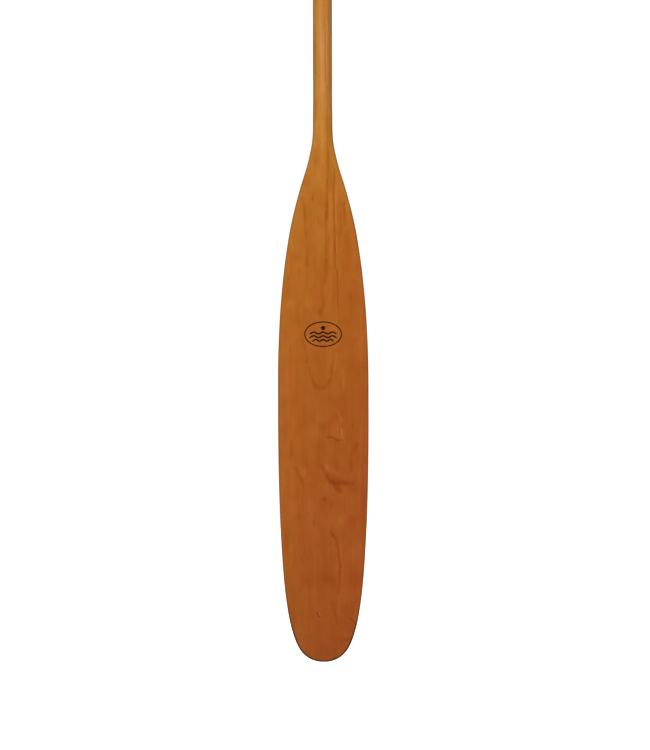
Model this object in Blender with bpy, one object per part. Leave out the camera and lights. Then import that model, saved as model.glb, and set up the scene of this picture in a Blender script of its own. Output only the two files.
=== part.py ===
"""A one-blade wooden canoe paddle of the otter-tail shape, with an oval shaft and a pear grip.

The paddle stands upright, blade down. X runs across the blade and Y through its thickness, and the
front of the blade faces -Y. The origin is the top of the grip, where the upper palm rests.
Every piece is cut from one outer form, which half_width() and half_depth() describe.
"""

import math

import bmesh
import bpy

# Driving dimensions, in metres
PADDLE_LENGTH = 1.473
# The shaft's oval, before its sides are planed flat to the width of the stave
SHAFT_HALF_WIDTH = 0.0136
SHAFT_HALF_DEPTH = 0.0145
STAVE_HALF_WIDTH = 0.0135
# Where the outline is narrower than the stave, the stave's sides are this share of the way out to it.
SIDE_TRIM = 0.993
GLUE_GAP = 0.0003
EDGE_RADIUS = 0.003
MARK_HEIGHT = 0.460
MARK_HALF_WIDTH = 0.0265
MARK_HALF_HEIGHT = 0.018
FILM_THICKNESS = 0.0003

# Each station is a distance from the blade's tip and the size there.
BLADE_OUTLINE = [
    (0.000, 0.0000),
    (0.004, 0.0184),
    (0.014, 0.0309),
    (0.040, 0.0432),
    (0.090, 0.0530),
    (0.170, 0.0595),
    (0.260, 0.0627),
    (0.360, 0.0636),
    (0.440, 0.0628),
    (0.510, 0.0588),
    (0.570, 0.0521),
    (0.620, 0.0434),
    (0.665, 0.0318),
    (0.700, 0.0212),
    (0.730, 0.0150),
    (0.770, 0.0137),
    (0.840, SHAFT_HALF_WIDTH),
]
BLADE_SPINE = [
    (0.000, 0.0030),
    (0.100, 0.0036),
    (0.350, 0.0044),
    (0.500, 0.0053),
    (0.600, 0.0070),
    (0.670, 0.0098),
    (0.740, 0.0132),
    (0.840, SHAFT_HALF_DEPTH),
]
BLADE_EDGE = [
    (0.000, 0.0022),
    (0.350, 0.0024),
    (0.600, 0.0032),
    (0.700, 0.0066),
    (0.760, 0.0134),
    (0.840, SHAFT_HALF_DEPTH),
]
# Here the distance is from the top of the grip.
GRIP_OUTLINE = [
    (0.000, 0.0000),
    (0.003, 0.0150),
    (0.009, 0.0245),
    (0.019, 0.0320),
    (0.033, 0.0355),
    (0.050, 0.0325),
    (0.070, 0.0262),
    (0.092, 0.0195),
    (0.120, 0.0150),
    (0.160, SHAFT_HALF_WIDTH),
]
GRIP_DEPTH = [
    (0.000, 0.0000),
    (0.003, 0.0075),
    (0.010, 0.0120),
    (0.022, 0.0148),
    (0.040, 0.0150),
    (0.070, 0.0138),
    (0.110, 0.0140),
    (0.160, SHAFT_HALF_DEPTH),
]
BLADE_REACH = BLADE_OUTLINE[-1][0]
GRIP_REACH = GRIP_OUTLINE[-1][0]

# Between these heights the blade's lens section turns into the shaft's oval.
OVAL_STARTS = 0.600
OVAL_ENDS = 0.760
# Over these heights the spine narrows, as the power of its crown rises.
SPINE_STARTS = 0.300
SPINE_NARROWS = 0.680
FLAT_CROWN = 1.0
SPINE_CROWN = 2.4

STAVE_STEPS = 10
WING_STEPS = 9
CAP_INSET = 0.0002
FEATHER = 0.0004

CHERRY_SHAFT = (0.546, 0.216, 0.042)
CHERRY_BLADE = (0.376, 0.098, 0.016)
MARK_INK = (0.026, 0.008, 0.004)


def clear_scene():
    for thing in list(bpy.data.objects):
        bpy.data.objects.remove(thing, do_unlink=True)


def through_stations(stations, distance):
    """A smooth curve through the stations, spaced by square root so that a blunt end comes out round."""
    at = [math.sqrt(station[0]) for station in stations]
    size = [station[1] for station in stations]
    place = math.sqrt(max(distance, 0.0))
    spans = [high - low for low, high in zip(at, at[1:])]
    slopes = [(high - low) / span for low, high, span in zip(size, size[1:], spans)]
    tangents = [slopes[0]]
    for before, after, span_before, span_after in zip(slopes, slopes[1:], spans, spans[1:]):
        tangents.append((before * span_after + after * span_before) / (span_before + span_after))
    tangents[0] = 2.0 * slopes[0] - tangents[1]
    tangents.append(0.0)
    index = 0
    while index < len(spans) - 1 and place > at[index + 1]:
        index += 1
    span = spans[index]
    t = min((place - at[index]) / span, 1.0)
    value = (2 * t**3 - 3 * t**2 + 1) * size[index]
    value += (t**3 - 2 * t**2 + t) * span * tangents[index]
    value += (3 * t**2 - 2 * t**3) * size[index + 1]
    value += (t**3 - t**2) * span * tangents[index + 1]
    return value


def ease(value, low, high):
    """0 below low, 1 above high, and a smooth S between them."""
    t = min(max((value - low) / (high - low), 0.0), 1.0)
    return t * t * (3.0 - 2.0 * t)


def mix(low, high, amount):
    return low + (high - low) * amount


def half_width(height):
    """Half the paddle's width at a height above the blade's tip."""
    from_top = PADDLE_LENGTH - height
    if height < BLADE_REACH:
        return through_stations(BLADE_OUTLINE, height)
    if from_top < GRIP_REACH:
        return through_stations(GRIP_OUTLINE, from_top)
    return SHAFT_HALF_WIDTH


def centre_depth(height):
    """Half the thickness on the centre line."""
    from_top = PADDLE_LENGTH - height
    if height < BLADE_REACH:
        return through_stations(BLADE_SPINE, height)
    if from_top < GRIP_REACH:
        return through_stations(GRIP_DEPTH, from_top)
    return SHAFT_HALF_DEPTH


def rim_fullness(x, height, width):
    """The quarter round along the blade's edge: 0 on the outline, 1 one edge radius inside it."""
    nudge = 0.0001
    slope = (half_width(height + nudge) - half_width(height - nudge)) / (2 * nudge)
    inside = min((width - x) / math.hypot(1.0, slope), height)
    return math.sqrt(1.0 - (1.0 - min(inside / EDGE_RADIUS, 1.0)) ** 2)


def half_depth(x, height):
    """Half the thickness at x: a lens with a spine in the blade, an oval in the shaft and the grip."""
    width = half_width(height)
    across = min(abs(x) / width, 1.0)
    oval = ease(height, OVAL_STARTS, OVAL_ENDS)
    centre = centre_depth(height)
    edge = through_stations(BLADE_EDGE, height) if height < BLADE_REACH else centre
    power = mix(FLAT_CROWN, SPINE_CROWN, ease(height, SPINE_STARTS, SPINE_NARROWS))
    body = edge + (centre - edge) * (1.0 - across**2) ** power
    fullness = oval * math.sqrt(1.0 - across**2)
    if oval < 1.0:
        fullness += (1.0 - oval) * rim_fullness(abs(x), height, width)
    return body * fullness


def evenly(low, high, steps):
    return [mix(low, high, step / steps) for step in range(steps + 1)]


def closing_in(low, high, steps):
    """Heights from low to high that crowd together towards low."""
    return [mix(low, high, (step / steps) ** 2) for step in range(steps + 1)]


def height_where(width, low, high):
    """The height between low and high at which half_width() passes width."""
    rising = half_width(high) > half_width(low)
    for _ in range(50):
        middle = (low + high) / 2
        if (half_width(middle) < width) == rising:
            low = middle
        else:
            high = middle
    return (low + high) / 2


def stave_ring(height):
    """One section of the centre stave, whose two sides are the flat glue faces."""
    reach = min(STAVE_HALF_WIDTH, SIDE_TRIM * half_width(height))
    angles = evenly(-math.pi / 2, math.pi / 2, STAVE_STEPS)
    front = [reach * math.sin(angle) for angle in angles]
    ring = [(x, -half_depth(x, height), height) for x in front]
    ring += [(x, half_depth(x, height), height) for x in reversed(front)]
    return ring


def wing_ring(height, side):
    """One section of a piece glued beside the stave, from the glue face out to the outline."""
    inner = STAVE_HALF_WIDTH + GLUE_GAP
    outer = half_width(height)
    angles = evenly(0.0, math.pi / 2, WING_STEPS)
    reach = [mix(inner, outer, math.sin(angle)) for angle in angles]
    ring = [(side * x, -half_depth(x, height), height) for x in reach[:-1]]
    ring.append((side * outer, 0.0, height))
    ring += [(side * x, half_depth(x, height), height) for x in reversed(reach[:-1])]
    return ring


def loft(rings):
    """A closed solid through rings of the same number of points, with a flat cap at each end."""
    solid = bmesh.new()
    loops = [[solid.verts.new(point) for point in ring] for ring in rings]
    count = len(loops[0])
    for lower, upper in zip(loops, loops[1:]):
        for index in range(count):
            after = (index + 1) % count
            solid.faces.new((lower[index], lower[after], upper[after], upper[index]))
    solid.faces.new(list(reversed(loops[0])))
    solid.faces.new(loops[-1])
    bmesh.ops.triangulate(solid, faces=solid.faces[:])
    bmesh.ops.recalc_face_normals(solid, faces=solid.faces[:])
    return solid


def wood(name, colour):
    material = bpy.data.materials.new(name)
    material.use_nodes = True
    shader = material.node_tree.nodes["Principled BSDF"]
    shader.inputs["Base Color"].default_value = (*colour, 1.0)
    shader.inputs["Roughness"].default_value = 0.42
    shader.inputs["Metallic"].default_value = 0.0
    return material


def add_piece(name, solid, colour, paddle):
    """Makes the object. Its own origin is the blade's tip, at the foot of the paddle's empty."""
    mesh = bpy.data.meshes.new(name)
    solid.to_mesh(mesh)
    solid.free()
    mesh.shade_smooth()
    mesh.set_sharp_from_angle(angle=math.radians(40))
    mesh.materials.append(wood(name, colour))
    piece = bpy.data.objects.new(name, mesh)
    piece.parent = paddle
    piece.location = (0.0, 0.0, -PADDLE_LENGTH)
    bpy.context.scene.collection.objects.link(piece)
    return piece


def shaft_stave():
    shaft_low = BLADE_REACH
    shaft_high = PADDLE_LENGTH - GRIP_REACH
    top = PADDLE_LENGTH - CAP_INSET
    heights = closing_in(CAP_INSET, 0.040, 9)
    heights += evenly(0.040, 0.600, 18)[1:]
    heights += evenly(0.600, shaft_low, 18)[1:]
    heights += evenly(shaft_low, shaft_high, 8)[1:]
    heights += sorted(closing_in(top, shaft_high, 18))[1:]
    return loft([stave_ring(height) for height in heights])


def blade_wing(side):
    feathered = STAVE_HALF_WIDTH + GLUE_GAP + FEATHER
    low = height_where(feathered, 0.0, 0.300)
    high = height_where(feathered, 0.450, BLADE_REACH)
    heights = closing_in(low, 0.040, 8)
    heights += evenly(0.040, 0.600, 18)[1:]
    heights += evenly(0.600, high, 12)[1:]
    return loft([wing_ring(height, side) for height in heights])


def grip_cheek(side):
    feathered = STAVE_HALF_WIDTH + GLUE_GAP + FEATHER
    shoulder = PADDLE_LENGTH - 0.033
    low = height_where(feathered, PADDLE_LENGTH - GRIP_REACH, shoulder)
    high = height_where(feathered, shoulder, PADDLE_LENGTH)
    heights = evenly(low, shoulder, 12)
    heights += sorted(closing_in(high, shoulder, 8))[1:]
    return loft([wing_ring(height, side) for height in heights])


def maker_mark():
    """An oval film that follows the front of the blade, one gap in front of the wood."""
    film = bmesh.new()
    rings = 4
    spokes = 32
    layers = []
    for lift in (GLUE_GAP, GLUE_GAP + FILM_THICKNESS):
        centre = film.verts.new((0.0, -half_depth(0.0, MARK_HEIGHT) - lift, MARK_HEIGHT))
        loops = []
        for ring in range(1, rings + 1):
            loop = []
            for spoke in range(spokes):
                angle = 2 * math.pi * spoke / spokes
                x = MARK_HALF_WIDTH * ring / rings * math.cos(angle)
                height = MARK_HEIGHT + MARK_HALF_HEIGHT * ring / rings * math.sin(angle)
                loop.append(film.verts.new((x, -half_depth(x, height) - lift, height)))
            loops.append(loop)
        for spoke in range(spokes):
            after = (spoke + 1) % spokes
            film.faces.new((centre, loops[0][spoke], loops[0][after]))
            for inner, outer in zip(loops, loops[1:]):
                film.faces.new((inner[spoke], outer[spoke], outer[after], inner[after]))
        layers.append(loops[-1])
    back, front = layers
    for spoke in range(spokes):
        after = (spoke + 1) % spokes
        film.faces.new((back[spoke], back[after], front[after], front[spoke]))
    bmesh.ops.triangulate(film, faces=film.faces[:])
    bmesh.ops.recalc_face_normals(film, faces=film.faces[:])
    return film


def main():
    clear_scene()
    paddle = bpy.data.objects.new("paddle", None)
    bpy.context.scene.collection.objects.link(paddle)
    add_piece("shaft_stave", shaft_stave(), CHERRY_SHAFT, paddle)
    add_piece("blade_wing_left", blade_wing(-1), CHERRY_BLADE, paddle)
    add_piece("blade_wing_right", blade_wing(1), CHERRY_BLADE, paddle)
    add_piece("grip_cheek_left", grip_cheek(-1), CHERRY_SHAFT, paddle)
    add_piece("grip_cheek_right", grip_cheek(1), CHERRY_SHAFT, paddle)
    add_piece("maker_mark", maker_mark(), MARK_INK, paddle)


main()
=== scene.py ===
"""The looks of the wooden otter-tail canoe paddle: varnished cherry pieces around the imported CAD."""

import math

import bmesh
import bpy
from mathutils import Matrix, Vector


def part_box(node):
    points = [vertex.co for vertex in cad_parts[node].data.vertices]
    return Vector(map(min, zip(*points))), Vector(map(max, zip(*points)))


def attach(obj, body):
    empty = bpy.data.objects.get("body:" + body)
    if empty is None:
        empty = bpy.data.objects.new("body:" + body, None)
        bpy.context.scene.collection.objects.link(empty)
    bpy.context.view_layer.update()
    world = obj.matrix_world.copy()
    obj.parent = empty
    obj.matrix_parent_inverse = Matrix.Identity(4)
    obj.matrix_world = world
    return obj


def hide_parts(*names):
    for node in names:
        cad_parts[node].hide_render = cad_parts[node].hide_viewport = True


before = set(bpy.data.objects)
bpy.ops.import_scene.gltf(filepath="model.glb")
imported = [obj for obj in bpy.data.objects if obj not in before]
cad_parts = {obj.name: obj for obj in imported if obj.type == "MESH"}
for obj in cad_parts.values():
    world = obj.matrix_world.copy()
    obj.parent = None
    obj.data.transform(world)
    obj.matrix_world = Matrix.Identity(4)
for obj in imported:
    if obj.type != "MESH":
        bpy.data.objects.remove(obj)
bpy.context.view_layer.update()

# Sizes in metres. Heights are above the blade's tip as it was before CAP_INSET was planed off it.
CAP_INSET = 0.0002
STAVE_LOW, STAVE_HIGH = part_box("shaft_stave")
WING_LOW, WING_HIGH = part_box("blade_wing_right")
TIP_Z = STAVE_LOW.z - CAP_INSET
LENGTH = STAVE_HIGH.z + CAP_INSET - TIP_Z
MM = 0.001

SHAFT_HALF_WIDTH = STAVE_HIGH.x
SHAFT_HALF_DEPTH = 0.0145
SEAM = (STAVE_HIGH.x + WING_LOW.x) / 2
HAIRLINE = 0.00001
EDGE_RADIUS = 0.003

# Each station is a distance from the blade's tip and the size there.
BLADE_OUTLINE = [
    (0.000, 0.0000),
    (0.004, 0.0184),
    (0.014, 0.0309),
    (0.040, 0.0432),
    (0.090, 0.0530),
    (0.170, 0.0595),
    (0.260, 0.0627),
    (0.360, 0.0636),
    (0.440, 0.0628),
    (0.510, 0.0588),
    (0.570, 0.0521),
    (0.620, 0.0434),
    (0.665, 0.0318),
    (0.700, 0.0212),
    (0.730, 0.0150),
    (0.770, 0.0137),
    (0.840, SHAFT_HALF_WIDTH),
]
BLADE_SPINE = [
    (0.000, 0.0030),
    (0.100, 0.0036),
    (0.350, 0.0044),
    (0.500, 0.0053),
    (0.600, 0.0070),
    (0.670, 0.0098),
    (0.740, 0.0132),
    (0.840, SHAFT_HALF_DEPTH),
]
BLADE_EDGE = [
    (0.000, 0.0022),
    (0.350, 0.0024),
    (0.600, 0.0032),
    (0.700, 0.0066),
    (0.760, 0.0134),
    (0.840, SHAFT_HALF_DEPTH),
]
# Here the distance is from the top of the grip.
GRIP_OUTLINE = [
    (0.000, 0.0000),
    (0.003, 0.0150),
    (0.009, 0.0245),
    (0.019, 0.0320),
    (0.033, 0.0355),
    (0.050, 0.0325),
    (0.070, 0.0262),
    (0.092, 0.0195),
    (0.120, 0.0150),
    (0.160, SHAFT_HALF_WIDTH),
]
GRIP_DEPTH = [
    (0.000, 0.0000),
    (0.003, 0.0075),
    (0.010, 0.0120),
    (0.022, 0.0148),
    (0.040, 0.0150),
    (0.070, 0.0138),
    (0.110, 0.0140),
    (0.160, SHAFT_HALF_DEPTH),
]
BLADE_REACH = BLADE_OUTLINE[-1][0]
GRIP_REACH = GRIP_OUTLINE[-1][0]
OVAL_STARTS, OVAL_ENDS = 0.600, 0.760
SPINE_STARTS, SPINE_NARROWS = 0.300, 0.680
FLAT_CROWN, SPINE_CROWN = 1.0, 2.4

# The printed mark
MARK_HEIGHT = 0.460
MARK_HALF_WIDTH = 0.0265
MARK_HALF_HEIGHT = 0.018


# ---------------------------------------------------------------- the outer form


def mix(low, high, amount):
    return low + (high - low) * amount


def ease(value, low, high):
    """0 below low, 1 above high, and a smooth S between them."""
    t = min(max((value - low) / (high - low), 0.0), 1.0)
    return t * t * (3.0 - 2.0 * t)


def through_stations(stations, distance):
    """A smooth curve through the stations, spaced by square root so that a blunt end comes out round."""
    at = [math.sqrt(station[0]) for station in stations]
    size = [station[1] for station in stations]
    place = math.sqrt(max(distance, 0.0))
    spans = [high - low for low, high in zip(at, at[1:])]
    slopes = [(high - low) / span for low, high, span in zip(size, size[1:], spans)]
    tangents = [slopes[0]]
    for before, after, span_before, span_after in zip(slopes, slopes[1:], spans, spans[1:]):
        tangents.append((before * span_after + after * span_before) / (span_before + span_after))
    tangents[0] = 2.0 * slopes[0] - tangents[1]
    tangents.append(0.0)
    index = 0
    while index < len(spans) - 1 and place > at[index + 1]:
        index += 1
    span = spans[index]
    t = min((place - at[index]) / span, 1.0)
    value = (2 * t**3 - 3 * t**2 + 1) * size[index]
    value += (t**3 - 2 * t**2 + t) * span * tangents[index]
    value += (3 * t**2 - 2 * t**3) * size[index + 1]
    value += (t**3 - t**2) * span * tangents[index + 1]
    return value


def half_width(height):
    from_top = LENGTH - height
    if height < BLADE_REACH:
        return min(through_stations(BLADE_OUTLINE, height), WING_HIGH.x)
    if from_top < GRIP_REACH:
        return through_stations(GRIP_OUTLINE, from_top)
    return SHAFT_HALF_WIDTH


def centre_depth(height):
    from_top = LENGTH - height
    if height < BLADE_REACH:
        return through_stations(BLADE_SPINE, height)
    if from_top < GRIP_REACH:
        return through_stations(GRIP_DEPTH, from_top)
    return SHAFT_HALF_DEPTH


def rim_fullness(x, height, width):
    """The quarter round along the blade's edge: 0 on the outline, 1 one edge radius inside it."""
    nudge = 0.0001
    slope = (half_width(height + nudge) - half_width(height - nudge)) / (2 * nudge)
    inside = min((width - x) / math.hypot(1.0, slope), height)
    return math.sqrt(1.0 - (1.0 - min(inside / EDGE_RADIUS, 1.0)) ** 2)


def half_depth(x, height):
    """Half the thickness at x: a lens with a spine in the blade, an oval in the shaft and the grip."""
    width = half_width(height)
    across = min(abs(x) / width, 1.0)
    oval = ease(height, OVAL_STARTS, OVAL_ENDS)
    centre = centre_depth(height)
    edge = through_stations(BLADE_EDGE, height) if height < BLADE_REACH else centre
    power = mix(FLAT_CROWN, SPINE_CROWN, ease(height, SPINE_STARTS, SPINE_NARROWS))
    body = edge + (centre - edge) * (1.0 - across**2) ** power
    fullness = oval * math.sqrt(1.0 - across**2)
    if oval < 1.0:
        fullness += (1.0 - oval) * rim_fullness(abs(x), height, width)
    return min(body * fullness, STAVE_HIGH.y)


# ---------------------------------------------------------------- the wooden pieces

# Steps across the front of the stave, and across the front of a wing or a cheek
STAVE_STEPS = 28
WING_STEPS = 22
# The rows of points crowd together below TIP_BENDS and towards the top of the grip, where the outline
# turns, and they are closer in the throat than on the blade.
TIP_BENDS = 0.040
THROAT_STARTS = 0.600
TIP_ROWS = 24
BLADE_ROWS = 56
STAVE_THROAT_ROWS = 60
WING_THROAT_ROWS = 50
SHAFT_ROWS = 20
GRIP_ROWS = 48
CHEEK_ROWS = 40
CHEEK_TOP_ROWS = 24
# The blade is wider than the stave between these heights, and the grip is widest this far from its top.
BLADE_WIDE_FROM, BLADE_WIDE_TO = 0.300, 0.450
GRIP_WIDEST = 0.033
# The half-width of the outline where a wing or a cheek has thinned out to nothing
FEATHERED = SEAM + 2 * HAIRLINE
# Where the outline is narrower than the stave, the stave stops this share of the way out to it.
STAVE_SHARE = 0.9995
HALVINGS = 50
# Edges that turn by more than this stay sharp.
CREASE = math.radians(40)


def evenly(low, high, steps):
    return [mix(low, high, step / steps) for step in range(steps + 1)]


def closing_in(low, high, steps):
    """Heights from low to high that crowd together towards low."""
    return [mix(low, high, (step / steps) ** 2) for step in range(steps + 1)]


def height_where(width, low, high):
    """The height between low and high at which half_width() passes width."""
    rising = half_width(high) > half_width(low)
    for _ in range(HALVINGS):
        middle = (low + high) / 2
        if (half_width(middle) < width) == rising:
            low = middle
        else:
            high = middle
    return (low + high) / 2


def stave_ring(height):
    reach = min(SEAM - HAIRLINE, STAVE_SHARE * half_width(height))
    angles = evenly(-math.pi / 2, math.pi / 2, STAVE_STEPS)
    front = [reach * math.sin(angle) for angle in angles]
    ring = [(x, -half_depth(x, height), height + TIP_Z) for x in front]
    ring += [(x, half_depth(x, height), height + TIP_Z) for x in reversed(front)]
    return ring


def wing_ring(height, side):
    """The glued face is a little proud in the middle, so that no light comes through the hairline."""
    inner = SEAM + HAIRLINE
    outer = half_width(height)
    angles = evenly(0.0, math.pi / 2, WING_STEPS)
    reach = [mix(inner, outer, math.sin(angle)) for angle in angles]
    ring = [(side * x, -half_depth(x, height), height + TIP_Z) for x in reach[:-1]]
    ring.append((side * outer, 0.0, height + TIP_Z))
    ring += [(side * x, half_depth(x, height), height + TIP_Z) for x in reversed(reach[:-1])]
    ring.append((side * (SEAM - 2 * HAIRLINE), 0.0, height + TIP_Z))
    return ring


def bridge(solid, lower, upper):
    """A band of faces from one closed loop of points to the next."""
    for index in range(len(lower)):
        after = (index + 1) % len(lower)
        solid.faces.new((lower[index], lower[after], upper[after], upper[index]))


def loft(name, rings):
    """A closed solid through rings of the same number of points, with a flat cap at each end."""
    solid = bmesh.new()
    loops = [[solid.verts.new(point) for point in ring] for ring in rings]
    for lower, upper in zip(loops, loops[1:]):
        bridge(solid, lower, upper)
    solid.faces.new(list(reversed(loops[0])))
    solid.faces.new(loops[-1])
    bmesh.ops.recalc_face_normals(solid, faces=solid.faces[:])
    return add_mesh(name, solid)


def add_mesh(name, solid):
    mesh = bpy.data.meshes.new(name)
    solid.to_mesh(mesh)
    solid.free()
    mesh.shade_smooth()
    mesh.set_sharp_from_angle(angle=CREASE)
    piece = bpy.data.objects.new(name, mesh)
    bpy.context.scene.collection.objects.link(piece)
    return piece


def blade_heights(low, high, throat_rows):
    """Heights from low, in the tip, to high, in the throat."""
    heights = closing_in(low, TIP_BENDS, TIP_ROWS)
    heights += evenly(TIP_BENDS, THROAT_STARTS, BLADE_ROWS)[1:]
    return heights + evenly(THROAT_STARTS, high, throat_rows)[1:]


def centre_stave():
    shaft_high = LENGTH - GRIP_REACH
    heights = blade_heights(CAP_INSET, BLADE_REACH, STAVE_THROAT_ROWS)
    heights += evenly(BLADE_REACH, shaft_high, SHAFT_ROWS)[1:]
    heights += sorted(closing_in(LENGTH - CAP_INSET, shaft_high, GRIP_ROWS))[1:]
    return loft("centre_stave", [stave_ring(height) for height in heights])


def blade_wing(name, side):
    low = height_where(FEATHERED, 0.0, BLADE_WIDE_FROM)
    high = height_where(FEATHERED, BLADE_WIDE_TO, BLADE_REACH)
    heights = blade_heights(low, high, WING_THROAT_ROWS)
    return loft(name, [wing_ring(height, side) for height in heights])


def grip_cheek(name, side):
    shoulder = LENGTH - GRIP_WIDEST
    low = height_where(FEATHERED, LENGTH - GRIP_REACH, shoulder)
    high = height_where(FEATHERED, shoulder, LENGTH)
    heights = evenly(low, shoulder, CHEEK_ROWS)
    heights += sorted(closing_in(high, shoulder, CHEEK_TOP_ROWS))[1:]
    return loft(name, [wing_ring(height, side) for height in heights])


# ---------------------------------------------------------------- shader building


class Recipe:
    """Adds nodes to a tree, one call for each, and passes their output sockets on."""

    def __init__(self, tree):
        self.tree = tree

    def node(self, kind, *values, **settings):
        """A new node with these settings, and with the values fed to its inputs in turn."""
        made = self.tree.nodes.new(kind)
        for key, setting in settings.items():
            setattr(made, key, setting)
        for socket, value in zip(made.inputs, values):
            self.feed(socket, value)
        return made

    def feed(self, socket, value):
        """Links the value to the socket if it is another node's output, or else sets it there."""
        if isinstance(value, bpy.types.NodeSocket):
            self.tree.links.new(value, socket)
        else:
            socket.default_value = value

    def math(self, operation, *values):
        return self.node("ShaderNodeMath", *values, operation=operation).outputs[0]

    def vector(self, operation, *values):
        made = self.node("ShaderNodeVectorMath", *values, operation=operation)
        gives_number = operation in ("DOT_PRODUCT", "DISTANCE", "LENGTH")
        return made.outputs["Value" if gives_number else "Vector"]

    def plus(self, *values):
        total = values[0]
        for value in values[1:]:
            total = self.math("ADD", total, value)
        return total

    def times(self, *values):
        total = values[0]
        for value in values[1:]:
            total = self.math("MULTIPLY", total, value)
        return total

    def less(self, first, second):
        return self.math("SUBTRACT", first, second)

    def bell(self, off):
        """1 where off is 0, about a third where it is 1, and nearly 0 from 2 on."""
        return self.math("EXPONENT", self.times(off, off, -1.0))

    def apart(self, vector):
        return self.node("ShaderNodeSeparateXYZ", vector).outputs

    def together(self, *values):
        return self.node("ShaderNodeCombineXYZ", *values).outputs[0]

    def step(self, value, low, high, start=0.0, end=1.0):
        """A smooth change from start to end as value goes from low to high."""
        given = (value, low, high, start, end)
        return self.node("ShaderNodeMapRange", *given, interpolation_type="SMOOTHSTEP").outputs[0]

    def stretched(self, vector, scale, offset=(0.0, 0.0, 0.0)):
        made = self.node("ShaderNodeMapping", vector)
        self.feed(made.inputs["Location"], offset)
        self.feed(made.inputs["Scale"], scale)
        return made.outputs[0]

    def noise(self, vector, detail=2.0, roughness=0.5, distortion=0.0):
        """Smooth noise about 0, mostly between -1 and 1, one feature to each unit of the vector."""
        made = self.node("ShaderNodeTexNoise", vector)
        self.feed(made.inputs["Scale"], 1.0)
        self.feed(made.inputs["Detail"], detail)
        self.feed(made.inputs["Roughness"], roughness)
        self.feed(made.inputs["Distortion"], distortion)
        return self.math("MULTIPLY_ADD", made.outputs[0], 4.0, -2.0)

    def grain(self, point, across, along, offset, *settings):
        """Noise with this many features to the metre across the grain and along it."""
        return self.noise(self.stretched(point, (across, across, along), offset), *settings)

    def ramp(self, factor, stops):
        made = self.node("ShaderNodeValToRGB", factor)
        colours = made.color_ramp.elements
        while len(colours) < len(stops):
            colours.new(0.5)
        for element, (place, colour) in zip(colours, stops):
            element.position = place
            element.color = (*linear(colour), 1.0)
        return made.outputs[0]

    def gamma(self, colour, power):
        return self.node("ShaderNodeGamma", colour, power).outputs[0]

    def tinted(self, colour, tint, amount):
        """colour multiplied by tint where amount is 1. A Mix node's colours are its inputs 6 and 7."""
        made = self.node("ShaderNodeMix", amount, data_type="RGBA", blend_type="MULTIPLY")
        self.feed(made.inputs[6], colour)
        self.feed(made.inputs[7], (*tint, 1.0))
        return made.outputs[2]


def linear(colour):
    """A colour given as 0 to 255 for the screen, as the linear values that shaders take."""
    shares = [value / 255.0 for value in colour]
    return [((share + 0.055) / 1.055) ** 2.4 if share > 0.04 else share / 12.92 for share in shares]


FLOAT = "NodeSocketFloat"
VECTOR = "NodeSocketVector"
COLOUR = "NodeSocketColor"


def new_group(name, inputs, outputs):
    """A node group, the recipe that adds nodes to it, and its own inputs and outputs."""
    group = bpy.data.node_groups.new(name, "ShaderNodeTree")
    for label, kind in inputs:
        group.interface.new_socket(label, in_out="INPUT", socket_type=kind)
    for label, kind in outputs:
        group.interface.new_socket(label, in_out="OUTPUT", socket_type=kind)
    recipe = Recipe(group)
    given = recipe.node("NodeGroupInput")
    result = recipe.node("NodeGroupOutput")
    return group, recipe, given.outputs, result.inputs


def distance_group():
    """How far a point is from the straight line between From and From + Way.

    Share is Way over the square of its length.
    """
    inputs = [("Point", VECTOR), ("From", VECTOR), ("Way", VECTOR), ("Share", VECTOR)]
    group, recipe, given, result = new_group("line_distance", inputs, [("Distance", FLOAT)])
    reached = recipe.vector("SUBTRACT", given["Point"], given["From"])
    share = recipe.vector("DOT_PRODUCT", reached, given["Share"])
    share = recipe.math("MINIMUM", recipe.math("MAXIMUM", share, 0.0), 1.0)
    nearest = recipe.node("ShaderNodeVectorMath", given["Way"], operation="SCALE")
    recipe.feed(nearest.inputs["Scale"], share)
    recipe.feed(result["Distance"], recipe.vector("DISTANCE", reached, nearest.outputs[0]))
    return group


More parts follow.
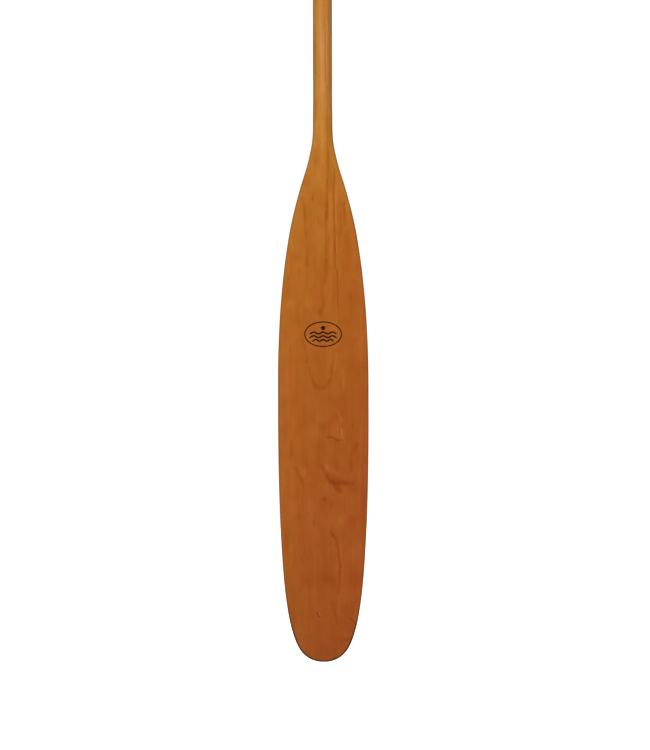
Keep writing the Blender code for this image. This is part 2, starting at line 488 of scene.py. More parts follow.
# The figure of the wood on the front of the paddle, in millimetres: x from the centre line, then the
# height above the tip. Each line has its half-width and its depth, negative for a light line. Most are
# grain; the pale band up the shaft is partly a painted highlight.
GRAIN_AND_HIGHLIGHT_LINES = [
    # The U under the mark, and the faint limb that runs up from it on the left
    (1.2, 1.3, [(17, 437), (15.5, 428), (14, 420), (12.5, 412), (11.5, 405), (10.5, 398), (8, 393)]),
    (1.7, 1.2, [(8, 393), (5.5, 389), (3, 386), (0, 384.5), (-4, 384), (-8, 385.5), (-11, 388)]),
    (1.3, 1.4, [(-11, 388), (-13.5, 392), (-15.5, 397), (-17, 402), (-18.5, 408), (-19, 413)]),
    (1.2, 0.8, [(-22.5, 431), (-22.5, 420)]),
    (1.6, 0.5, [(-34, 503), (-35, 490), (-33, 475), (-30, 455), (-26, 440)]),
    (1.6, -0.9, [(17.5, 433), (16.5, 418), (15.5, 410)]),
    # The long line down the throat to the V above the mark
    (1.3, 1.4, [(8, 716), (7, 700), (7.5, 690), (6.5, 670), (6, 650), (4.8, 620)]),
    (2.0, 1.0, [(5.5, 640), (4.5, 620), (5, 600), (4.6, 580), (5.2, 563)]),
    (2.2, 1.2, [(5.5, 563), (4, 552), (3.3, 545), (2.5, 534)]),
    (2.0, 1.0, [(-1.6, 530), (-1.6, 520), (-1.2, 510), (-1.6, 499), (-4, 490)]),
    (1.0, 0.8, [(0, 516), (0.2, 500)]),
    (2.6, 0.8, [(-5, 494), (-4.4, 488)]),
    (1.5, -0.5, [(-25, 509), (-18, 496), (-12, 484)]),
    # Beside it, light and dark in turn
    (1.3, -0.9, [(10.2, 657), (10, 640), (10.5, 620), (10.8, 590), (11.2, 560)]),
    (0.6, 1.0, [(11.4, 622), (11.6, 598)]),
    (1.2, -0.5, [(13.2, 640), (13.4, 600), (13.6, 566)]),
    (0.9, 2.0, [(16, 690), (15.4, 660), (15.3, 640), (15.6, 620), (16.4, 600), (16.8, 580), (16.8, 553)]),
    (0.8, 1.6, [(19.4, 551), (20.3, 540), (20.6, 530), (20.5, 515), (20.4, 498)]),
    (0.9, -1.2, [(18.2, 656), (18.4, 640), (18.6, 613)]),
    (0.8, -0.7, [(19.3, 597), (19.4, 574)]),
    (0.9, 0.9, [(21.8, 602), (22.4, 580)]),
    (1.3, -0.8, [(24.4, 596), (24.6, 578)]),
    (0.9, -0.7, [(22.6, 546), (22.8, 500)]),
    (1.8, 1.7, [(30, 643), (30.4, 630), (31, 616)]),
    # The left of the throat
    (1.5, 1.2, [(-29, 652), (-27.5, 645), (-25.6, 637), (-25, 625), (-25, 615), (-24, 600)]),
    (1.9, 1.2, [(-22.5, 582), (-22, 572), (-22.4, 563), (-21.2, 557)]),
    (1.6, 0.8, [(-21.5, 560), (-22.4, 545), (-22.8, 535), (-23.6, 524)]),
    (1.2, 1.3, [(-33.2, 553), (-33.4, 542)]),
    (0.8, 2.0, [(-14, 653), (-14, 649)]),
    (0.8, -0.8, [(-48.5, 556), (-48, 544)]),
    (1.0, 0.9, [(-46.4, 445), (-46, 435)]),
    # The right of the throat
    (1.5, 1.0, [(37, 558), (33.5, 550)]),
    (1.5, 0.9, [(38.3, 521), (38.3, 511)]),
    # The middle of the blade
    (1.2, 0.8, [(25.6, 402), (25.4, 384)]),
    (1.2, -0.8, [(28, 411), (27.8, 384)]),
    (1.0, -1.0, [(20.8, 351), (22.6, 346), (25.2, 338)]),
    (0.8, -1.3, [(20.4, 331), (20.4, 325)]),
    (0.7, 1.2, [(21.8, 331), (22.2, 321)]),
    (1.2, -1.4, [(24.6, 327), (26, 322), (27.6, 316)]),
    (0.7, 1.9, [(5, 314.6), (10, 315.8), (14, 315), (17, 313.2)]),
    (1.2, 1.7, [(19, 311.8), (21, 310.9), (23.6, 310.8)]),
    (1.0, 1.2, [(42, 333), (42, 328)]),
    (1.9, 1.0, [(-45, 308), (-44, 300), (-44.4, 292), (-46, 286)]),
    (2.2, 1.1, [(47, 306), (42.5, 297), (39.5, 290), (38.6, 280), (39, 270)]),
    # The check mark
    (1.9, 1.8, [(-2, 275), (0, 270), (3, 265), (6, 259.5), (10, 254)]),
    (2.3, 1.6, [(11.5, 252.6), (14, 250), (17, 246.8), (20, 243), (23, 240.6)]),
    (2.6, 0.5, [(16, 252), (20, 249), (23.5, 246)]),
    (2.1, 1.6, [(21.5, 250.6), (26, 252.3), (30, 251), (36, 250), (41, 250.5)]),
    (1.0, 1.3, [(42, 251), (42.6, 255.5)]),
    (3.0, 0.5, [(9, 261), (15, 259), (22, 256), (28, 254)]),
    (1.8, -0.9, [(3.5, 277), (9, 270), (18, 265)]),
    (1.8, 0.4, [(-6, 287), (-3.4, 277)]),
    # Left of it
    (2.0, 1.0, [(-40, 272), (-36, 265), (-31, 256), (-28.4, 250), (-27.6, 246)]),
    (3.2, -0.8, [(-31, 273), (-26, 265), (-20, 256)]),
    (1.3, 0.9, [(-35.4, 209), (-34.4, 202)]),
    (1.3, 0.8, [(-13.6, 200), (-13, 192)]),
    # Towards the tip
    (1.9, 1.4, [(11, 183), (13, 178.5)]),
    (1.4, 1.4, [(13, 179), (16, 175), (18.4, 170), (19.5, 163), (20.5, 157), (21, 151)]),
    (1.5, 1.4, [(21.8, 148), (22.8, 140), (23.4, 133)]),
    (1.5, 1.2, [(22.2, 128), (22, 118), (22.3, 110), (21, 104), (20, 98)]),
    (1.0, 0.5, [(5, 146), (5, 137)]),
    (1.0, 1.2, [(-30, 147), (-30, 143)]),
    (0.9, 1.0, [(-32.8, 174), (-32.4, 166)]),
    (0.9, -0.9, [(-29.6, 175), (-29.8, 166)]),
    (1.6, 1.0, [(13, 82), (16, 72), (18.6, 62), (18.8, 54)]),
    (0.8, 1.6, [(37.6, 61.5), (41, 58), (45, 53)]),
    (1.4, 1.6, [(30, 31), (38, 32.4)]),
    (1.3, 1.6, [(16, 18), (15.2, 7)]),
    (1.0, 0.9, [(5, 18), (5, 10)]),
    (0.45, 7.0, [(-9.6, 70), (-6, 63.6)]),
    (0.5, -4.0, [(-6.8, 67.6), (-5.6, 65)]),
    # The pale band up the shaft, partly paler wood and partly a painted highlight down its middle, and
    # the darker lines beside it
    (3.6, -0.5, [(-1.4, 1440), (-1.8, 960), (-1.2, 800)]),
    (4.5, -0.25, [(-1.2, 796), (-1.4, 750), (-2.4, 700), (-3, 680)]),
    # A light line on the left of the throat: painted light, making that side lighter
    (2.6, -1.3, [(-9.8, 756), (-10.4, 742), (-10.8, 724)]),
    (1.4, 1.2, [(-11.4, 870), (-11, 826)]),
    (1.5, -0.8, [(11.2, 1440), (11.0, 800), (11.4, 756)]),
    (0.7, 1.3, [(5, 1180), (3.6, 1000), (3.3, 850), (3.8, 812)]),
    (1.0, 1.0, [(5.8, 808), (6.6, 780), (5.8, 760), (6.6, 740), (6.2, 722), (8, 708)]),
    (0.8, 1.0, [(9.2, 1320), (10.4, 1100), (9, 940), (8.5, 858), (9.4, 800)]),
    (0.8, -0.6, [(6.3, 900), (6.4, 826)]),
]
# Soft patches: x, height, half-width, half-height, how much darker, how much redder
PATCHES = [
    # The throat
    (-4, 640, 9, 26, -0.5, -0.3),
    (-23, 652, 5, 7, -0.5, -1.0),
    (-21, 672, 6, 9, 0.3, 1.0),
    (-10, 676, 8, 10, -0.4, -0.4),
    (34, 639, 3, 8, -0.9, -1.8),
    (34, 628, 4, 5, -0.2, 0.8),
    (22, 690, 3, 4, 0.3, 1.6),
    (12.5, 680, 4.5, 20, 0.8, 0.0),
    (-36, 622, 8, 14, -0.2, -0.7),
    (44, 575, 3, 9, -0.4, -1.2),
    (33, 585, 9, 30, 0.5, 1.0),
    (49, 555, 7, 14, 0.0, 1.2),
    (23, 640, 6, 24, 0.6, 0.8),
    (40, 508, 6, 14, 0.9, 0.5),
    (-40, 515, 12, 14, 0.2, -0.7),
    (-5, 560, 5, 40, -0.3, -0.1),
    (-38, 480, 7, 40, -0.3, 0.1),
    (54, 490, 5, 20, -0.5, -0.5),
    # Round the mark and in the middle of the blade
    (-7, 398, 6, 4, 0.3, -1.0),
    (-3, 383, 6, 3, 0.2, 0.8),
    (-50, 382, 8, 26, -0.5, 0.5),
    (-52, 430, 8, 20, 0.0, 0.6),
    (-58, 402, 5, 12, 0.0, 0.9),
    (53, 430, 6, 14, -0.3, 0.9),
    (14, 366, 22, 22, 0.5, 0.2),
    (50, 390, 12, 20, 0.4, -0.3),
    (54, 352, 6, 20, 0.2, 0.9),
    (-55, 324, 7, 10, 0.3, 1.1),
    (-46, 320, 4, 6, -0.7, 0.2),
    (-22, 352, 6, 10, -0.4, 0.2),
    (-2, 332, 4.5, 5, 1.6, 0.2),
    (-4, 305, 5, 8, 0.6, 0.3),
    (50, 296, 8, 16, 0.5, 0.3),
    # Round the check mark
    (19, 254, 9, 5, 0.7, 0.4),
    (34, 244, 9, 4, 0.1, 0.6),
    (2, 229, 4, 4, 1.6, 1.1),
    (11.5, 220, 3, 4, 2.0, 0.2),
    (20, 226, 8, 6, 0.3, -0.4),
    (55, 255, 3.5, 24, 0.2, 1.0),
    (56, 220, 4, 14, 0.2, 1.6),
    (-56, 254, 4, 14, -0.3, -1.4),
    (-54, 196, 4, 14, -0.4, 0.5),
    (-45, 225, 9, 26, -0.3, -0.1),
    (40, 200, 7, 9, 0.6, 0.9),
    (27, 197, 9, 9, -0.5, 0.0),
    (-44, 292, 6, 12, 0.4, -0.2),
    # Towards the tip
    (8, 116, 10, 9, 1.0, 0.6),
    (-23, 115, 8, 8, 0.8, 0.5),
    (5, 140, 8, 40, 0.4, 0.4),
    (42, 154, 10, 20, -0.9, 0.4),
    (45, 114, 10, 17, 0.8, 1.4),
    (27, 88, 12, 8, -0.8, 0.3),
    (-46, 150, 8, 26, 0.2, -1.0),
    (-51, 162, 3, 12, 0.0, 1.4),
    (-20, 94, 8, 7, -0.3, -0.4),
    (-24, 118, 9, 50, 0.0, -0.4),
    (37, 48, 9, 10, 0.5, 0.4),
    (22, 30, 10, 8, 0.9, 0.5),
    (21, 13, 5, 6, -0.7, -1.0),
    (-38, 60, 10, 34, 0.3, -0.8),
    (0, 12, 16, 8, 0.5, -0.6),
]
# The back shows the same figure, moved along by the slope of the growth rings.
BACK_ALONG = 47.0
BACK_ACROSS = 5.0
# A line has faded to about a third this many half-widths from its middle.
LINE_SPREAD = 1.4


def soft_line(recipe, point, group, width, depth, places):
    """A soft line of this half-width through the places, each an (x, height) pair."""
    nearest = None
    for start, end in zip(places, places[1:]):
        way = (end[0] - start[0], end[1] - start[1])
        square = way[0] ** 2 + way[1] ** 2
        share = (way[0] / square, way[1] / square, 0.0)
        given = (point, (*start, 0.0), (*way, 0.0), share)
        off = recipe.node("ShaderNodeGroup", *given, node_tree=group).outputs["Distance"]
        nearest = off if nearest is None else recipe.math("MINIMUM", nearest, off)
    return recipe.times(recipe.bell(recipe.math("DIVIDE", nearest, LINE_SPREAD * width)), depth)


def patch(recipe, point, x, height, half_x, half_height):
    """1 at (x, height), and falling off softly over the two half-sizes."""
    scale = (1.0 / half_x, 1.0 / half_height, 1.0)
    shift = (-x / half_x, -height / half_height, 0.0)
    return recipe.bell(recipe.vector("LENGTH", recipe.stretched(point, scale, shift)))


def drawn_figure(recipe, place, noise):
    """The drawn grain lines, with a painted highlight among them on the shaft, and how much darker and
    redder the soft patches are.

    Noise moves them all by up to about a millimetre, so that no line is too smooth.
    """
    drift = recipe.plus(recipe.times(noise["shiver"], 0.25), recipe.times(noise["jitter"], 0.45))
    x = recipe.plus(recipe.times(place.x, 1.0 / MM), recipe.times(place.behind, BACK_ACROSS), drift)
    height = recipe.plus(
        recipe.times(place.height, 1.0 / MM),
        recipe.times(place.behind, BACK_ALONG),
        recipe.times(drift, 1.5),
    )
    spot = recipe.together(x, height)
    distance = distance_group()
    lines = 0.0
    # Among these lines, the pale band up the shaft is partly a painted highlight.
    for width, depth, places in GRAIN_AND_HIGHLIGHT_LINES:
        lines = recipe.plus(soft_line(recipe, spot, distance, width, depth, places), lines)
    lines = recipe.times(lines, recipe.plus(recipe.times(noise["broken"], 0.5), 1.0))
    darker = 0.0
    redder = 0.0
    for patch_x, patch_height, half_x, half_height, dark, red in PATCHES:
        there = patch(recipe, spot, patch_x, patch_height, half_x, half_height)
        darker = recipe.plus(recipe.times(there, dark), darker)
        redder = recipe.plus(recipe.times(there, red), redder)
    return lines, darker, redder


# ---------------------------------------------------------------- cherry

# The noises in the wood: how many features to the metre across the grain and along it, where the noise
# is sampled, and its detail, roughness and distortion
NOISES = {
    # These bend the growth rings, and make them stronger here and weaker there
    "wander": (14.0, 4.0, (2.3, 0.4, 1.7), 2.0),
    "shiver": (60.0, 14.0, (0.0, 0.0, 0.0), 1.0),
    "patchy": (20.0, 5.0, (5.0, 1.0, 3.0), 1.0),
    # Bands, streaks and fibres along the grain
    "band": (70.0, 2.2, (0.0, 3.0, 0.0), 2.0),
    "streak": (260.0, 7.0, (0.0, 0.0, 0.0), 2.0, 0.6),
    "fibre": (1500.0, 30.0, (0.0, 0.0, 0.0), 2.0, 0.6),
    # Blotches, large soft areas, and changes of hue
    "mottle": (50.0, 28.0, (7.0, 0.0, 2.0), 3.0, 0.55, 0.6),
    "cloud": (13.0, 6.0, (1.0, 4.0, 9.0), 1.0),
    "hue": (75.0, 38.0, (3.0, 8.0, 1.0), 2.0, 0.5, 0.5),
    # These make the drawn lines less even
    "jitter": (170.0, 80.0, (1.0, 0.0, 5.0), 1.0),
    "broken": (130.0, 60.0, (4.0, 0.0, 6.0), 1.0),
}
# How much lighter these make the wood, or darker where the number is negative
LIGHTNESS = {"band": 0.030, "streak": 0.030, "fibre": 0.012, "mottle": 0.065, "cloud": 0.035}
EARLY_WOOD = 0.02
LATE_WOOD = -0.10
PATCH_DEPTH = -0.07
FLECK_DEPTH = -0.30
LINE_DEPTH = -0.100
# What all of them are multiplied by
CONTRAST = 0.29
# How much green these add to the colour: less green is redder.
PATCH_GREEN = -0.013
HUE_GREEN = 0.013

# The roughness of the varnish
SATIN = 0.40

# Growth rings: their spacing and radius, how far left of the centre line their middle is, how far they
# lean back for each metre of height, and what the noises move them by
RING_SPACING = 0.00098
RING_RADIUS = 0.9
RING_SIDESTEP = 0.003
GRAIN_TILT = 0.003
RING_WANDER = 0.00030
RING_SHIVER = 0.00007
# Added to the count of the rings: it keeps the count positive, and sets where rings meet the surface.
RING_PHASE = 100.35
# The shares of a ring where its early wood ends, and where its late wood starts, is full and ends
EARLY_ENDS = 0.6
LATE_STARTS, LATE_FULL, LATE_ENDS = 0.55, 0.90, 0.98
# The strength of the rings on the blade and on the grip, beside 1 on the shaft
RINGS_ON_BLADE = 0.25
RINGS_ON_GRIP = 2.0

# What the wood's colour is multiplied by: towards the left and right of the blade, partly the wood's own
# hue and partly painted light that falls off to the right; painted shade on the rounded rim, and more
# painted shade round the tip
# Partly yellower wood and partly painted light: the left of the blade is lighter.
GOLD_AND_LIGHT = (1.05, 1.13, 1.02)
# Partly redder wood and partly painted shade: the right of the blade is darker.
ROSE_AND_SHADE = (1.00, 0.955, 1.02)
# These two are painted shade: darker where the rim turns away, and darker still on the rim round the tip.
RIM_SHADE = (0.66, 0.78, 1.0)
TIP_RIM_SHADE = (0.36, 0.44, 0.68)
SCREEN_GAMMA = 2.2
DARKEST = (0.01, 0.01, 0.01)

# The wood's colour from the tip (0) to the top of the grip (1), darker at the tip: partly its own colour,
# partly painted light
CHERRY_AND_LIGHT_FALLOFF = [
    (0.00, (151, 75, 22)),
    (0.08, (155, 77, 23)),
    (0.17, (158, 81, 24)),
    (0.26, (159, 84, 24)),
    (0.35, (164, 90, 24)),
    (0.40, (165, 94, 25)),
    (0.44, (168, 98, 27)),
    (0.47, (172, 104, 33)),
    (0.50, (180, 115, 41)),
    (0.54, (178, 114, 46)),
    (0.58, (179, 117, 52)),
    (1.00, (179, 116, 51)),
]


class Place:
    """Where the shaded point is on the paddle, in metres, and how it faces."""

    def __init__(self, recipe):
        given = recipe.node("ShaderNodeTexCoord")
        self.point = given.outputs["Object"]
        self.x, self.y, z = recipe.apart(self.point)
        self.height = recipe.less(z, TIP_Z)
        self.flatness = recipe.math("ABSOLUTE", recipe.apart(given.outputs["Normal"])[1])
        self.behind = recipe.step(self.y, -0.0005, 0.0005)


def growth_rings(recipe, place, noise, shift):
    """The early and the late wood of each ring, from 0 to 1, and how strongly they show."""
    beside = recipe.plus(place.x, RING_SIDESTEP)
    sheet = recipe.plus(
        place.y,
        recipe.times(beside, beside, 0.5 / RING_RADIUS),
        recipe.times(place.height, -GRAIN_TILT),
        recipe.times(noise["wander"], RING_WANDER),
        recipe.times(noise["shiver"], RING_SHIVER),
        shift,
    )
    ring = recipe.math("FRACT", recipe.plus(recipe.math("DIVIDE", sheet, RING_SPACING), RING_PHASE))
    early = recipe.step(ring, 0.0, EARLY_ENDS, 1.0, 0.0)
    rising = recipe.step(ring, LATE_STARTS, LATE_FULL)
    late = recipe.times(rising, recipe.step(ring, LATE_FULL, LATE_ENDS, 1.0, 0.0))
    uneven = recipe.step(noise["patchy"], -0.6, 0.7, 0.25, 1.0)
    shown = recipe.step(place.height, 0.50, 0.78, RINGS_ON_BLADE, 1.0)
    bolder = recipe.step(place.height, 1.00, 1.30, 1.0, RINGS_ON_GRIP)
    return early, late, recipe.times(uneven, shown, bolder)


def gum_flecks(recipe, place):
    """Short dark flecks on the back, in a few cells of a stretched Voronoi pattern."""
    stretched = recipe.stretched(place.point, (90.0, 90.0, 18.0))
    cells = recipe.node("ShaderNodeTexVoronoi", stretched, feature="F1")
    recipe.feed(cells.inputs["Scale"], 1.0)
    chance = recipe.node("ShaderNodeSeparateColor", cells.outputs["Color"]).outputs[0]
    rare = recipe.math("GREATER_THAN", chance, 0.93)
    near = recipe.step(cells.outputs["Distance"], 0.03, 0.11, 1.0, 0.0)
    return recipe.times(near, rare, place.behind)


def wood_colour_and_light(recipe, place, cloud):
    """Gold at the shaft and a darker red-brown at the tip, yellower and lighter on the left and redder on
    the right: partly the wood's own colour and partly painted light that falls off towards the tip and
    the right.
    """
    share = recipe.plus(recipe.math("DIVIDE", place.height, LENGTH), recipe.times(cloud, 0.012))
    colour = recipe.ramp(share, CHERRY_AND_LIGHT_FALLOFF)
    # Lighter and yellower on the left, darker and redder on the right: partly the wood's hue, partly
    # painted light.
    gold_and_light = recipe.step(recipe.plus(place.x, recipe.times(cloud, 0.01)), -0.062, -0.005, 1.0, 0.0)
    rose_and_shade = recipe.step(recipe.plus(place.x, recipe.times(cloud, 0.012)), 0.008, 0.062)
    return recipe.tinted(recipe.tinted(colour, GOLD_AND_LIGHT, gold_and_light), ROSE_AND_SHADE, rose_and_shade)


def painted_rim_shade(recipe, place, colour):
    """Painted shade: the wood is made darker where the blade's surface turns away at its rim, and most at
    the tip.
    """
    on_blade = recipe.step(place.height, 0.64, 0.78, 1.0, 0.2)
    turns_at = recipe.step(place.height, 0.60, 0.72, 0.9965, 0.80)
    rim = recipe.times(recipe.step(recipe.less(turns_at, place.flatness), 0.0, 0.30), on_blade)
    # More painted shade on the rim round the tip
    end_rim = recipe.step(place.flatness, 0.975, 0.99995, 1.0, 0.0)
    tip_shade = recipe.times(recipe.step(place.height, 0.016, 0.110, 1.0, 0.0), end_rim)
    return recipe.tinted(recipe.tinted(colour, RIM_SHADE, rim), TIP_RIM_SHADE, tip_shade)


def cherry_group():
    """Cherry sawn flat across the trunk, with the growth rings as sheets through the whole paddle."""
    inputs = [("Tone", FLOAT), ("Shift", FLOAT)]
    outputs = [("Color", COLOUR), ("Roughness", FLOAT), ("Relief", FLOAT)]
    group, recipe, given, result = new_group("cherry", inputs, outputs)
    place = Place(recipe)
    noise = {name: recipe.grain(place.point, *settings) for name, settings in NOISES.items()}
    early, late, ring_depth = growth_rings(recipe, place, noise, given["Shift"])
    lines, darker, redder = drawn_figure(recipe, place, noise)

    # The changes of lightness and hue are added to the colour as a screen shows it.
    lighter = recipe.plus(
        *[recipe.times(noise[name], weight) for name, weight in LIGHTNESS.items()],
        recipe.times(early, ring_depth, EARLY_WOOD),
        recipe.times(late, ring_depth, LATE_WOOD),
        recipe.times(darker, PATCH_DEPTH),
        recipe.times(gum_flecks(recipe, place), FLECK_DEPTH),
        given["Tone"],
    )
    lighter = recipe.times(recipe.plus(lighter, recipe.times(lines, LINE_DEPTH)), CONTRAST)
    blush = recipe.plus(recipe.times(redder, PATCH_GREEN), recipe.times(noise["hue"], HUE_GREEN))
    change = recipe.together(lighter, recipe.plus(lighter, blush), lighter)
    colour = recipe.gamma(wood_colour_and_light(recipe, place, noise["cloud"]), 1 / SCREEN_GAMMA)
    colour = recipe.vector("MAXIMUM", recipe.vector("ADD", colour, change), DARKEST)
    colour = recipe.gamma(colour, SCREEN_GAMMA)
    # The rims get their painted shade here.
    recipe.feed(result["Color"], painted_rim_shade(recipe, place, colour))

    # Varnish: satin, a little uneven
    roughness = recipe.plus(
        SATIN,
        recipe.times(noise["mottle"], 0.02),
        recipe.times(noise["fibre"], 0.015),
        recipe.times(late, -0.03),
    )
    recipe.feed(result["Roughness"], roughness)
    relief = recipe.plus(
        recipe.times(noise["fibre"], 0.5),
        recipe.times(noise["streak"], 0.5),
        recipe.times(late, -0.6),
    )
    recipe.feed(result["Relief"], relief)
    return group


# ---------------------------------------------------------------- materials

COAT_ROUGHNESS = 0.22
# The ink's colour from whole (0) to worn (1)
INK = [
    (0.00, (28, 8, 2)),
    (0.65, (40, 14, 4)),
    (1.00, (92, 42, 14)),
]


def new_material(name):
    """A material, the recipe that adds nodes to it, and its shader."""
    material = bpy.data.materials.new(name)
    material.use_nodes = True
    return material, Recipe(material.node_tree), material.node_tree.nodes["Principled BSDF"]


def wood(name, group, tone=0.0, shift=0.0):
    """A varnished board: tone makes it lighter or darker, and shift moves its growth rings."""
    material, recipe, shader = new_material(name)
    grain = recipe.node("ShaderNodeGroup", node_tree=group)
    grain.inputs["Tone"].default_value = tone
    grain.inputs["Shift"].default_value = shift
    recipe.feed(shader.inputs["Base Color"], grain.outputs["Color"])
    recipe.feed(shader.inputs["Roughness"], grain.outputs["Roughness"])
    shader.inputs["Specular IOR Level"].default_value = 0.1
    shader.inputs["Coat Weight"].default_value = 0.05
    shader.inputs["Coat Roughness"].default_value = COAT_ROUGHNESS
    bump = recipe.node("ShaderNodeBump")
    bump.inputs["Strength"].default_value = 0.25
    bump.inputs["Distance"].default_value = 0.00005
    recipe.feed(bump.inputs["Height"], grain.outputs["Relief"])
    recipe.feed(shader.inputs["Normal"], bump.outputs[0])
    return material


def ink():
    """Dark brown printing ink, worn thin in specks so that the wood's colour comes through."""
    material, recipe, shader = new_material("mark_ink")
    point = recipe.node("ShaderNodeTexCoord").outputs["Object"]
    blot = recipe.noise(recipe.stretched(point, (500.0, 500.0, 500.0)), 3.0)
    speck = recipe.noise(recipe.stretched(point, (2200.0, 2200.0, 2200.0)), 1.0)
    worn = recipe.plus(recipe.times(blot, 0.35), recipe.times(speck, 0.3), 0.35)
    recipe.feed(shader.inputs["Base Color"], recipe.ramp(worn, INK))
    recipe.feed(shader.inputs["Roughness"], recipe.plus(0.42, recipe.times(speck, 0.05)))
    shader.inputs["Specular IOR Level"].default_value = 0.04
    shader.inputs["Coat Weight"].default_value = 0.01
    shader.inputs["Coat Roughness"].default_value = COAT_ROUGHNESS
    return material


# ---------------------------------------------------------------- the printed mark

# How far the ink stands out of the wood, and reaches into it
INK_LIFT = 0.00003
INK_DEPTH = 0.00010
# An open strip of ink starts at this share of its width, and is full this many points on.
BLUNT_END = 0.25
TAPER_POINTS = 3
# Half-widths of the lines
FRAME_LINE = 0.0008
RIPPLE_LINE = 0.0011
# The rest of the sign, with heights above the middle of the mark
SUN_RISE = 0.0088
SUN_RADIUS = 0.0030
RIPPLE_SWELL = 0.0013
RIPPLE_CRESTS = 3
RIPPLE_RISES = [0.0018, -0.0034, -0.0086]
RIPPLE_HALF_LENGTHS = [0.0195, 0.0195, 0.0155]


def ink_point(film, x, height, lift):
    """A corner of the ink, this far in front of the blade's surface."""
    return film.verts.new((x, -half_depth(x, height) - lift, height + TIP_Z))


def ribbon(film, line, half, closed=False):
    """A thin strip of ink of half-width half along line, a list of (x, height) points, on the blade."""
    count = len(line)
    rails = []
    for index, (x, height) in enumerate(line):
        before = line[(index - 1) % count] if closed else line[max(index - 1, 0)]
        after = line[(index + 1) % count] if closed else line[min(index + 1, count - 1)]
        way = Vector((after[0] - before[0], after[1] - before[1])).normalized()
        from_end = min(index, count - 1 - index)
        taper = 1.0 if closed else min(1.0, BLUNT_END + from_end / TAPER_POINTS)
        corners = []
        for side, lift in ((1, INK_LIFT), (-1, INK_LIFT), (-1, -INK_DEPTH), (1, -INK_DEPTH)):
            reach = half * side * taper
            corners.append(ink_point(film, x - way.y * reach, height + way.x * reach, lift))
        rails.append(corners)
    for first, second in zip(rails, rails[1:]):
        bridge(film, first, second)
    if closed:
        bridge(film, rails[-1], rails[0])
    else:
        film.faces.new(rails[0])
        film.faces.new(list(reversed(rails[-1])))


def oval(half_x, half_height, rise, points):
    """The rim of an oval whose middle is this far above the middle of the mark."""
    middle = MARK_HEIGHT + rise
    angles = [2 * math.pi * step / points for step in range(points)]
    return [(half_x * math.cos(angle), middle + half_height * math.sin(angle)) for angle in angles]


def ripple(half_x, rise, points=48):
    line = []
    for x in evenly(-half_x, half_x, points):
        swell = RIPPLE_SWELL * math.cos(math.pi * RIPPLE_CRESTS * x / half_x)
        line.append((x, MARK_HEIGHT + rise + swell))
    return line


def dot(film, rim):
    """A filled spot of ink inside the rim, a list of (x, height) points."""
    front = [ink_point(film, x, height, INK_LIFT) for x, height in rim]
    back = [ink_point(film, x, height, -INK_DEPTH) for x, height in rim]
    film.faces.new(front)
    film.faces.new(list(reversed(back)))
    bridge(film, front, back)


def printed_mark():
    """A plain oval frame round a low sun and three ripples: a generic sign, with no lettering."""
    film = bmesh.new()
    edge = oval(MARK_HALF_WIDTH - FRAME_LINE, MARK_HALF_HEIGHT - FRAME_LINE, 0.0, 96)
    ribbon(film, edge, FRAME_LINE, closed=True)
    dot(film, oval(SUN_RADIUS, SUN_RADIUS, SUN_RISE, 32))
    for rise, half_x in zip(RIPPLE_RISES, RIPPLE_HALF_LENGTHS):
        ribbon(film, ripple(half_x, rise), RIPPLE_LINE)
    bmesh.ops.recalc_face_normals(film, faces=film.faces[:])
    return add_mesh("printed_mark", film)


# ---------------------------------------------------------------- floor, light and camera

FLOOR_DROP = 0.30
FLOOR_RADIUS = 9.0
# The height of the paddle that the picture takes in, and the point at its middle
VIEW_HEIGHT = 1.0525
VIEW_CENTRE_X = 0.0025
VIEW_CENTRE_HEIGHT = 0.40285
VIEW_ROLL = math.radians(0.127)
# In millimetres
LENS = 135.0
SENSOR = 36.0
# A little overexposed, as a studio's white ground is
WHITE = 1.12
# The all-round light that the paddle gets
AMBIENT = 0.30
# The lamps are placed from this height, on the upper half of the blade.
LIT_HEIGHT = 0.5


def white_to_camera(recipe, otherwise):
    """A strength of WHITE for the camera's own rays, and of otherwise for all the rest."""
    rays = recipe.node("ShaderNodeLightPath")
    return recipe.step(rays.outputs["Is Camera Ray"], 0.0, 1.0, otherwise, WHITE)


def studio_floor():
    plate = bmesh.new()
    bmesh.ops.create_circle(plate, cap_ends=True, segments=96, radius=FLOOR_RADIUS)
    floor = add_mesh("studio_floor", plate)
    floor.location = (0.0, 0.0, TIP_Z - FLOOR_DROP)
    material, recipe, shader = new_material("floor_white")
    shader.inputs["Base Color"].default_value = (0.8, 0.8, 0.8, 1.0)
    shader.inputs["Roughness"].default_value = 0.9
    shader.inputs["Specular IOR Level"].default_value = 0.0
    shader.inputs["Emission Color"].default_value = (1.0, 1.0, 1.0, 1.0)
    recipe.feed(shader.inputs["Emission Strength"], white_to_camera(recipe, 0.0))
    floor.data.materials.append(material)


def pale_world():
    """White to the camera, and a softer all-round light to everything else."""
    world = bpy.data.worlds.new("pale_studio")
    world.use_nodes = True
    recipe = Recipe(world.node_tree)
    sky = world.node_tree.nodes["Background"]
    sky.inputs["Color"].default_value = (1.0, 1.0, 1.0, 1.0)
    recipe.feed(sky.inputs["Strength"], white_to_camera(recipe, AMBIENT))
    bpy.context.scene.world = world


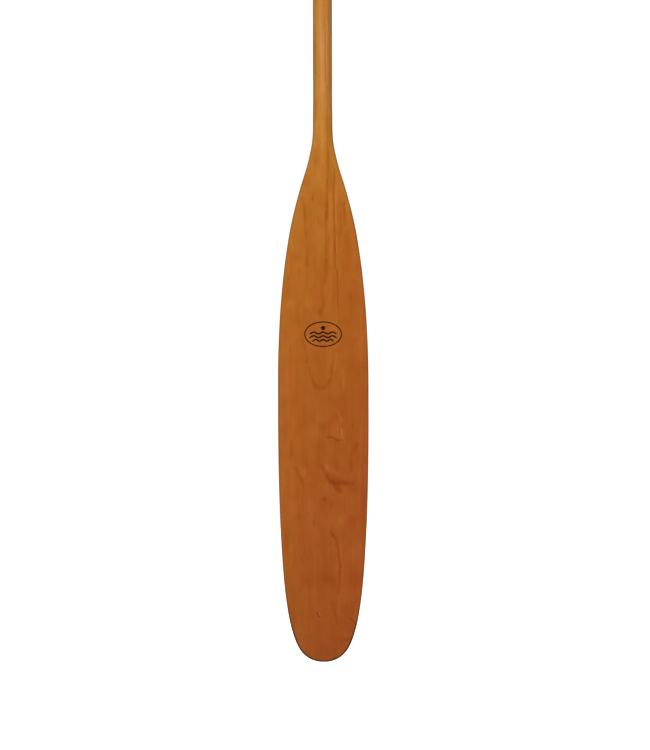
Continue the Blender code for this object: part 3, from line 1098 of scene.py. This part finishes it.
def soft_box(name, place, aim, size, watts, shines=True):
    """A rectangular lamp; one that does not shine gives light but leaves no highlight."""
    light = bpy.data.lights.new(name, "AREA")
    light.shape = "RECTANGLE"
    light.size, light.size_y = size
    light.energy = watts
    lamp = bpy.data.objects.new(name, light)
    lamp.visible_glossy = shines
    lamp.location = place
    lamp.rotation_euler = (Vector(aim) - Vector(place)).to_track_quat("-Z", "Y").to_euler()
    bpy.context.scene.collection.objects.link(lamp)


def studio_lights():
    middle = TIP_Z + LIT_HEIGHT
    soft_box("key", (-0.4, -2.6, middle + 2.0), (0.0, 0.0, middle + 0.1), (1.4, 1.4), watts=92.0)
    soft_box("fill", (2.6, -1.9, middle + 0.4), (0.0, 0.0, middle), (1.0, 2.0), watts=5.0)
    soft_box("back", (0.6, 3.0, middle + 1.4), (0.0, 0.0, middle), (1.4, 2.0), watts=75.0, shines=False)


def photo_camera():
    lens = bpy.data.cameras.new("camera")
    lens.lens = LENS
    lens.sensor_width = SENSOR
    lens.sensor_fit = "AUTO"
    lens.clip_end = 60.0
    distance = VIEW_HEIGHT / 2 / (SENSOR / 2 / LENS)
    camera = bpy.data.objects.new("camera", lens)
    camera.location = (VIEW_CENTRE_X, -distance, TIP_Z + VIEW_CENTRE_HEIGHT)
    camera.rotation_euler = (math.pi / 2, VIEW_ROLL, 0.0)
    bpy.context.scene.collection.objects.link(camera)
    bpy.context.scene.camera = camera


# ---------------------------------------------------------------- assembly


def dress(piece, node, material):
    """Gives the piece its material, and puts it in the place of the CAD node."""
    piece.data.materials.append(material)
    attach(piece, "root")
    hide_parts(node)


# Each board's side, the direction to it, how much lighter it is, and how far its rings are shifted
WINGS = [("left", -1, 0.004, 0.0), ("right", 1, -0.006, 0.0)]
CHEEKS = [("left", -1, -0.03, 0.0003), ("right", 1, 0.02, -0.0004)]


def main():
    grain = cherry_group()
    dress(centre_stave(), "shaft_stave", wood("cherry_stave", grain))
    for side, sign, tone, shift in WINGS:
        board = wood("cherry_" + side, grain, tone, shift)
        dress(blade_wing(side + "_wing", sign), "blade_wing_" + side, board)
    for side, sign, tone, shift in CHEEKS:
        block = wood("cheek_" + side, grain, tone, shift)
        dress(grip_cheek(side + "_cheek", sign), "grip_cheek_" + side, block)
    dress(printed_mark(), "maker_mark", ink())
    studio_floor()
    pale_world()
    studio_lights()
    photo_camera()
    bpy.context.scene.view_settings.view_transform = "Standard"


main()
